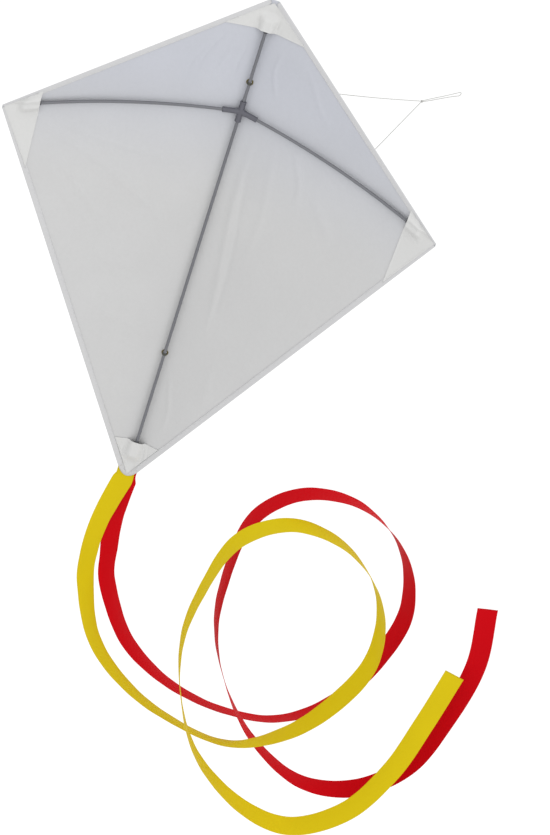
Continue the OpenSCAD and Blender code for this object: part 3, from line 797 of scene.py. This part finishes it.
def ribbon(name, route, tab_x, tab_y, tab_width, nodes, slot, phase):
    """A ribbon: across it runs half the width times (cos q flat + sin q deep), flat being
    square to the route and to Y, and deep square to the route in the plane of Y; low
    ripples a sin(k s) cross it, and its two edges are woven a little thicker."""
    run = spline(np.array(route, float), 16)
    p, lean = run[:, :3] * 0.001, np.radians(run[:, 3])
    sewn = np.linspace(TAIL_Z + 0.026, TAIL_Z + 0.002, 13)
    tab = np.stack([np.full(13, tab_x), np.full(13, tab_y), sewn], 1)
    p = np.vstack([tab, p])
    lean = np.concatenate([np.zeros(13), lean])
    s = lengths(p)
    at = np.concatenate([np.linspace(0, 0.036, 37), np.linspace(0.036, s[-1], 700)[1:]])
    p = np.stack([np.interp(at, s, p[:, k]) for k in range(3)], 1)
    lean = np.interp(at, s, lean)
    t = unit(np.gradient(p, axis=0))
    forward = np.array([0.0, 1.0, 0.0])
    flat = unit(np.cross(t, forward))
    deep = unit(forward - t[:, 1:2] * t)
    u = np.cos(lean)[:, None] * flat + np.sin(lean)[:, None] * deep
    w = unit(np.cross(t, u))
    across = np.concatenate([[-1, -0.985, -0.93, -0.91], np.linspace(-0.82, 0.82, 11),
                             [0.91, 0.93, 0.985, 1]])
    free = smooth_step((at - 0.030) / 0.05)[:, None]
    wide = tab_width + (RIBBON_WIDTH - tab_width) * smooth_step((at - 0.024) / 0.012)
    ripple = (0.00016 * np.sin(at * 71 + phase + 1.3 * np.sin(at * 13))[:, None]
              + 0.00012 * np.sin(at * 163 + phase)[:, None] * across[None]
              + 0.0009 * (across[None] ** 2 - 0.4) * np.sin(at * 9 + phase)[:, None]) * free
    thick = RIBBON_THICK * 0.62 * np.where(np.abs(across) > 0.92, 1.35, 1.0) / 2
    thick = np.where(np.abs(across) > 0.995, thick * 0.3, thick)
    mid = p[:, None] + u[:, None] * (across[None, :, None] * wide[:, None, None] / 2)
    mid = mid + w[:, None] * ripple[..., None]
    ring = np.concatenate([mid - w[:, None] * thick[None, :, None],
                           (mid + w[:, None] * thick[None, :, None])[:, ::-1]], 1)
    n, k = ring.shape[:2]
    faces = grid_faces(n, k, wrap=True)[:, ::-1].tolist()
    half_k = k // 2
    for j in range(half_k - 1):
        quad = [j, j + 1, k - 2 - j, k - 1 - j]
        faces += [quad[::-1], [v + (n - 1) * k for v in quad]]
    piece = mesh_piece(name, HUB + ring, [f[::-1] for f in faces], None)
    uv = np.stack([np.repeat(at[:, None], k, 1),
                   np.repeat(np.concatenate([across, across[::-1]])[None] * 0.014, n, 0)],
                  -1).reshape(-1, 2)
    loops = np.empty(len(piece.data.loops), int)
    piece.data.loops.foreach_get("vertex_index", loops)
    layer = piece.data.uv_layers.new(name="along")
    layer.data.foreach_set("uv", uv[loops].astype(np.float32).reshape(-1))
    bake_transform(piece)
    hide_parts(*nodes)
    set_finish(piece, slot)


ribbon("yellow_satin_ribbon", YELLOW_ROUTE, -0.002, 0.0004, 0.024,
       ("yellow_tail_end", "yellow_tail"), "yellow_ribbon", 0.4)
ribbon("red_satin_ribbon", RED_ROUTE, 0.002, 0.00105, 0.021,
       ("red_tail_end", "red_tail"), "red_ribbon", 2.1)

# ---------------------------------------------------------------------------------------
# Bar tack: a short close zigzag in white thread that holds the ribbons to the tail corner.
# ---------------------------------------------------------------------------------------
rows = []
for behind, depth in ((1, 0.00078), (-1, -0.00136)):
    for i in range(-10, 11):
        x = np.array([i * 0.001 - 0.0006, i * 0.001 + 0.0006])
        z = TAIL_Z + 0.009 + np.array([-0.0015, 0.0015]) * (1 if i % 2 else -1)
        p = HUB + np.stack([x, -np.full(2, depth), z], -1)
        rows.append((p, np.array([[0.0, -behind, 0.0]] * 2)))


def strand(p, nrm, r):
    """One straight strand between two points, round in section and pinched at its ends."""
    t = np.linspace(0, 1, 6)[:, None]
    line = p[0] + (p[1] - p[0]) * t + nrm[0] * 0.00018 * np.sin(math.pi * t)
    run = unit(p[1] - p[0])
    side = np.cross(run, nrm[0])
    a = np.arange(6) * math.pi / 3
    size = r * np.maximum(np.sin(math.pi * t), 0.15)[:, None] ** 0.5
    ring = line[:, None] + size * around(a, side, nrm[0])
    faces = grid_faces(6, 6, wrap=True).tolist()
    return ring.reshape(-1, 3), faces + [list(range(6))[::-1], [30 + k for k in range(6)]]


points, faces = gather_rows([strand(p, nrm, 0.00026) for p, nrm in rows])
tack = mesh_piece("zigzag_bar_tack", points, faces, "airframe")
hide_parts("tail_bar_tack")
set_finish(tack, "thread")

# ---------------------------------------------------------------------------------------
# Materials
# ---------------------------------------------------------------------------------------
def linear(r, g, b):
    """Colour given as display values from 0 to 255."""
    c = np.array([r, g, b]) / 255.0
    c = np.where(c <= 0.04045, c / 12.92, ((c + 0.055) / 1.055) ** 2.4)
    return (*[float(v) for v in c], 1.0)


def node_at(tree, kind, x, y, **sockets):
    """A node at a place, with its named inputs set."""
    node = tree.nodes.new(kind)
    node.location = (x, y)
    for key, value in sockets.items():
        node.inputs[key.replace("_", " ")].default_value = value
    return node


def join(tree, *pairs):
    """Links of a shader tree, each from an output to an input."""
    for source, target in pairs:
        tree.links.new(source, target)


def new_group(name, inputs, outputs):
    """A shader group with the given sockets: names with a kind and a default."""
    group = bpy.data.node_groups.new(name, "ShaderNodeTree")
    for label, kind, value in inputs:
        item = group.interface.new_socket(label, in_out="INPUT", socket_type=kind)
        if value is not None:
            item.default_value = value
    for label, kind in outputs:
        group.interface.new_socket(label, in_out="OUTPUT", socket_type=kind)
    start = group.nodes.new("NodeGroupInput")
    start.location = (-900, 0)
    end = group.nodes.new("NodeGroupOutput")
    end.location = (700, 0)
    return group, start, end


# Soft blotches and fine grain that break up an even colour, with a bump of the same grain
mottle, g_in, g_out = new_group(
    "mottle", [("Vector", "NodeSocketVector", None), ("Colour", "NodeSocketColor", None),
               ("Amount", "NodeSocketFloat", 0.05), ("Grain", "NodeSocketFloat", 900.0),
               ("Depth", "NodeSocketFloat", 0.1)],
    [("Colour", "NodeSocketColor"), ("Normal", "NodeSocketVector")])
broad = node_at(mottle, "ShaderNodeTexNoise", -650, 200, Scale=14.0, Detail=4.0)
fine = node_at(mottle, "ShaderNodeTexNoise", -650, -150, Detail=3.0)
both = node_at(mottle, "ShaderNodeMath", -420, 100)
both.operation = "ADD"
level = node_at(mottle, "ShaderNodeMapRange", -230, 100)
level.inputs["From Min"].default_value = 0.6
level.inputs["From Max"].default_value = 1.4
level.inputs["To Min"].default_value = -1.0
scaled = node_at(mottle, "ShaderNodeMath", -50, 100)
scaled.operation = "MULTIPLY_ADD"
scaled.inputs[2].default_value = 1.0
tinted = node_at(mottle, "ShaderNodeVectorMath", 150, 100)
tinted.operation = "SCALE"
bump = node_at(mottle, "ShaderNodeBump", 150, -200, Distance=0.0002)
join(mottle, (g_in.outputs["Vector"], broad.inputs["Vector"]),
     (g_in.outputs["Vector"], fine.inputs["Vector"]),
     (g_in.outputs["Grain"], fine.inputs["Scale"]),
     (broad.outputs[0], both.inputs[0]),
     (fine.outputs[0], both.inputs[1]),
     (both.outputs[0], level.inputs["Value"]),
     (level.outputs[0], scaled.inputs[0]),
     (g_in.outputs["Amount"], scaled.inputs[1]),
     (g_in.outputs["Colour"], tinted.inputs[0]),
     (scaled.outputs[0], tinted.inputs["Scale"]),
     (fine.outputs[0], bump.inputs["Height"]),
     (g_in.outputs["Depth"], bump.inputs["Strength"]),
     (tinted.outputs[0], g_out.inputs["Colour"]),
     (bump.outputs[0], g_out.inputs["Normal"]))

# Plain weave: two sets of rounded threads crossing at right angles, sin^2 of each
weave, w_in, w_out = new_group(
    "weave", [("Vector", "NodeSocketVector", None), ("Pitch", "NodeSocketFloat", 0.0005),
              ("Depth", "NodeSocketFloat", 0.2), ("Normal", "NodeSocketVector", None)],
    [("Normal", "NodeSocketVector")])
split = node_at(weave, "ShaderNodeSeparateXYZ", -700, 100)
join(weave, (w_in.outputs["Vector"], split.inputs[0]))
threads = []
for i, axis in enumerate(("X", "Z")):
    divide = node_at(weave, "ShaderNodeMath", -520, 150 - 200 * i)
    divide.operation = "DIVIDE"
    turns = node_at(weave, "ShaderNodeMath", -350, 150 - 200 * i)
    turns.operation = "MULTIPLY"
    turns.inputs[1].default_value = math.pi
    wave = node_at(weave, "ShaderNodeMath", -180, 150 - 200 * i)
    wave.operation = "SINE"
    square = node_at(weave, "ShaderNodeMath", -20, 150 - 200 * i)
    square.operation = "MULTIPLY"
    join(weave, (split.outputs[axis], divide.inputs[0]),
         (w_in.outputs["Pitch"], divide.inputs[1]),
         (divide.outputs[0], turns.inputs[0]),
         (turns.outputs[0], wave.inputs[0]),
         (wave.outputs[0], square.inputs[0]),
         (wave.outputs[0], square.inputs[1]))
    threads.append(square)
crossed = node_at(weave, "ShaderNodeMath", 150, 80)
crossed.operation = "MAXIMUM"
woven = node_at(weave, "ShaderNodeBump", 320, 0, Distance=0.0001)
join(weave, (threads[0].outputs[0], crossed.inputs[0]),
     (threads[1].outputs[0], crossed.inputs[1]),
     (crossed.outputs[0], woven.inputs["Height"]),
     (w_in.outputs["Depth"], woven.inputs["Strength"]),
     (w_in.outputs["Normal"], woven.inputs["Normal"]),
     (woven.outputs[0], w_out.inputs["Normal"]))


def material(name, rgb, rough, amount=0.04, grain=900.0, depth=0.1, thread=None, uv=None,
             **settings):
    """A Principled material with the mottle, and a weave where thread gives its pitch."""
    made = bpy.data.materials.new(name)
    made.use_nodes = True
    tree = made.node_tree
    shader = tree.nodes["Principled BSDF"]
    shader.inputs["Roughness"].default_value = rough
    for key, value in settings.items():
        shader.inputs[key.replace("_", " ")].default_value = value
    where = tree.nodes.new("ShaderNodeUVMap" if uv else "ShaderNodeTexCoord")
    where.location = (-800, 0)
    if uv:
        where.uv_map = uv
    out = where.outputs["UV" if uv else "Object"]
    group = tree.nodes.new("ShaderNodeGroup")
    group.node_tree = mottle
    group.location = (-500, 0)
    group.inputs["Colour"].default_value = linear(*rgb)
    group.inputs["Amount"].default_value = amount
    group.inputs["Grain"].default_value = grain
    group.inputs["Depth"].default_value = depth
    tree.links.new(out, group.inputs["Vector"])
    tree.links.new(group.outputs["Colour"], shader.inputs["Base Color"])
    normal = group.outputs["Normal"]
    if thread:
        cloth = tree.nodes.new("ShaderNodeGroup")
        cloth.node_tree = weave
        cloth.location = (-250, -200)
        cloth.inputs["Pitch"].default_value = thread
        cloth.inputs["Depth"].default_value = 0.15
        tree.links.new(out, cloth.inputs["Vector"])
        tree.links.new(normal, cloth.inputs["Normal"])
        normal = cloth.outputs["Normal"]
    tree.links.new(normal, shader.inputs["Normal"])
    return made, group


# One layer of cloth is thin and reads a little greyer than the double layers
# # of the hems and pockets. Towards the nose its colour is painted cooler and bluer: painted
# # light, standing for cool light from the sky above falling on the upper panels.
sail_mat, sail_mottle = material(
    "white_polyester", (189, 190, 192), 0.8, 0.025, 260.0, 0.10, thread=0.0006,
    Specular_IOR_Level=0.2)
tree = sail_mat.node_tree
place = tree.nodes.new("ShaderNodeTexCoord")
place.location = (-1300, 200)
axes = tree.nodes.new("ShaderNodeSeparateXYZ")
axes.location = (-1120, 200)
# Painted light: the sail's colour turns from a neutral grey below the hub to a bluish grey towards
# the nose
painted_sky_tint_rise = tree.nodes.new("ShaderNodeMapRange")
painted_sky_tint_rise.location = (-950, 200)
painted_sky_tint_rise.interpolation_type = "SMOOTHSTEP"
painted_sky_tint_rise.inputs["From Min"].default_value = float(HUB[2]) - 0.14
painted_sky_tint_rise.inputs["From Max"].default_value = float(HUB[2]) + 0.06
painted_sky_tint_mix = tree.nodes.new("ShaderNodeMix")
painted_sky_tint_mix.data_type = "RGBA"
painted_sky_tint_mix.location = (-750, 200)
painted_sky_tint_mix.inputs["A"].default_value = linear(187, 187, 187)
painted_sky_tint_mix.inputs["B"].default_value = linear(180, 182, 189)
join(tree, (place.outputs["Object"], axes.inputs[0]),
     (axes.outputs["Z"], painted_sky_tint_rise.inputs["Value"]),
     (painted_sky_tint_rise.outputs[0], painted_sky_tint_mix.inputs["Factor"]),
     (painted_sky_tint_mix.outputs["Result"], sail_mottle.inputs["Colour"]))

patch_mat = material("white_polyester_double", (196, 196, 195), 0.8, 0.02, 260.0, 0.10,
                     thread=0.0006, Specular_IOR_Level=0.2)[0]
hem_mat = material("white_polyester_fold", (189, 189, 190), 0.8, 0.02, 260.0, 0.10,
                   thread=0.0006, Specular_IOR_Level=0.2)[0]
thread_mat = material("white_thread", (200, 200, 199), 0.7, 0.02)[0]
line_mat = material("white_line", (176, 176, 173), 0.65, 0.04)[0]
# The spine knots are tied in the same white line as the bridle; this dark colour is painted shade,
# standing for the shadow round the knots at the eyelets
knot_painted_shade_mat = material("knot_painted_shade", (70, 71, 62), 0.5, 0.15, 1500.0, 0.2)[0]
rod_mat = material("grey_fibre_rod", (98, 99, 104), 0.32, 0.08, 700.0, 0.05,
                   Coat_Weight=0.3, Coat_Roughness=0.12)[0]
connector_mat = material("grey_soft_plastic", (84, 84, 92), 0.5, 0.05, 1500.0, 0.15)[0]
cap_mat = material("black_vinyl", (62, 62, 66), 0.5, 0.05, 1500.0, 0.1)[0]
brass_mat = material("pressed_brass", (104, 96, 70), 0.35, 0.10, 1200.0, 0.05,
                     Metallic=1.0)[0]
yellow_mat = material("yellow_satin", (198, 176, 10), 0.6, 0.03, 2500.0, 0.05,
                      uv="along", Specular_IOR_Level=0.08)[0]
red_mat = material("red_satin", (184, 0, 12), 0.6, 0.03, 2500.0, 0.05,
                   uv="along", Specular_IOR_Level=0.05)[0]
FINISH = {"sail_cloth": sail_mat, "patch_cloth": patch_mat, "rod": rod_mat,
          "connector": connector_mat, "cap": cap_mat, "brass": brass_mat, "line": line_mat,
          "thread": thread_mat, "yellow_ribbon": yellow_mat, "red_ribbon": red_mat}
for piece in bpy.data.objects:
    if piece.type == "MESH" and "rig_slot" in piece and not piece.hide_render:
        piece.data.materials.clear()
        piece.data.materials.append(FINISH[piece["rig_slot"]])
for piece in hems:
    piece.data.materials[0] = hem_mat
# Painted shade: the spine knots get the dark colour in place of the white line's
for piece in spine_knots:
    piece.data.materials[0] = knot_painted_shade_mat

# ---------------------------------------------------------------------------------------
# Floor, world and lights: a plain near-white floor far below, an even white sky and two
# large soft lamps.
# ---------------------------------------------------------------------------------------
floor_mesh = bpy.data.meshes.new("floor")
reach = 14.0
floor_mesh.from_pydata([(-reach, -reach, -2.6), (reach, -reach, -2.6), (reach, reach, -2.6),
                        (-reach, reach, -2.6)], [], [(0, 1, 2, 3)])
floor = bpy.data.objects.new("floor", floor_mesh)
bpy.context.collection.objects.link(floor)
floor_mat = bpy.data.materials.new("pale_floor")
floor_mat.use_nodes = True
floor_shader = floor_mat.node_tree.nodes["Principled BSDF"]
floor_shader.inputs["Base Color"].default_value = (0.95, 0.95, 0.95, 1)
floor_shader.inputs["Roughness"].default_value = 0.9
floor_shader.inputs["Specular IOR Level"].default_value = 0.1
floor_mesh.materials.append(floor_mat)

world = bpy.data.worlds.new("world")
bpy.context.scene.world = world
world.use_nodes = True
sky = world.node_tree.nodes["Background"]
sky.inputs["Color"].default_value = (1.0, 1.0, 1.0, 1)
sky.inputs["Strength"].default_value = 1.12


def lamp(name, place, at, size, power, colour):
    """A square area lamp at a place, facing a point."""
    made = bpy.data.objects.new(name, bpy.data.lights.new(name, "AREA"))
    bpy.context.collection.objects.link(made)
    made.data.size = size
    made.data.energy = power
    made.data.color = colour
    back = unit(np.asarray(place, float) - at)
    side = unit(np.cross([0.0, 0.0, 1.0], back))
    spin = np.eye(4)
    spin[:3, 0], spin[:3, 1], spin[:3, 2] = side, np.cross(back, side), back
    spin[:3, 3] = place
    made.matrix_world = Matrix(spin.tolist())


lamp("key", HUB + [2.0, -1.4, 0.7], HUB + [0.0, 0.0, -0.3], 2.2, 13.0, (1.0, 1.0, 1.0))
lamp("top", HUB + [-0.4, -1.4, 2.0], HUB + [0.0, 0.0, -0.3], 2.6, 10.0, (0.95, 0.97, 1.0))

bpy.context.scene.view_settings.view_transform = "Standard"
